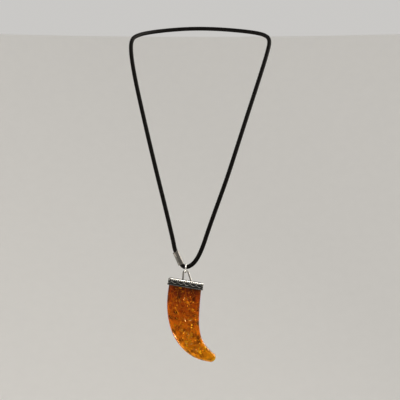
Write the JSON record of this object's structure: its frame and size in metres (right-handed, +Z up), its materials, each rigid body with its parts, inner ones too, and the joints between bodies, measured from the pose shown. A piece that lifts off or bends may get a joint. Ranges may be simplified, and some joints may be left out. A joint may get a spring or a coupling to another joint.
{
  "type": "pendant necklace",
  "caption": "Black braided cord necklace with a push-fit barrel clasp, a jump ring and a horn-shaped amber resin pendant in a metal cap.",
  "frame": {"origin": "centre of the wearer's neck, level with the sides of the cord where it turns behind the neck", "axes": "+Z up, -Y to the front of the wearer, +X to the wearer's left; the pendant hangs down along -Z and its flat back faces +Y"},
  "size_m": [0.1024, 0.1006, 0.2408],
  "materials": {
    "cord": "matt waxed braid",
    "clasp_metal": "polished",
    "ring_metal": "polished",
    "cap_metal": "antiqued, embossed",
    "spring": "satin",
    "glue": "clear",
    "amber_resin": "polished, transparent"
  },
  "bodies": {
    "necklace": {"cord": "cord", "clasp_socket": "clasp_metal", "socket_glue": "glue"},
    "clasp_half": {"clasp_plug": "clasp_metal", "snap_ring": "spring", "plug_glue": "glue"},
    "ring": {"jump_ring": "ring_metal"},
    "pendant": {"hanging_loop": "ring_metal", "cap": "cap_metal", "cap_adhesive": "glue", "claw": "amber_resin"}
  },
  "joints": [
    {"name": "clasp_pull", "type": "slide", "parent": "necklace", "child": "clasp_half", "axis": [-0.4067, 0, 0.9135], "range_m": [0, 0.004], "deforming": ["cord"]},
    {"name": "ring_swing", "type": "hinge", "parent": "necklace", "child": "ring", "pos_m": [-0.01045, -0.048, -0.1641], "axis": [1, 0, 0], "range_deg": [-90, 90]},
    {"name": "pendant_swing", "type": "hinge", "parent": "ring", "child": "pendant", "pos_m": [-0.01045, -0.048, -0.168], "axis": [0, 1, 0], "range_deg": [-60, 60]}
  ]
}
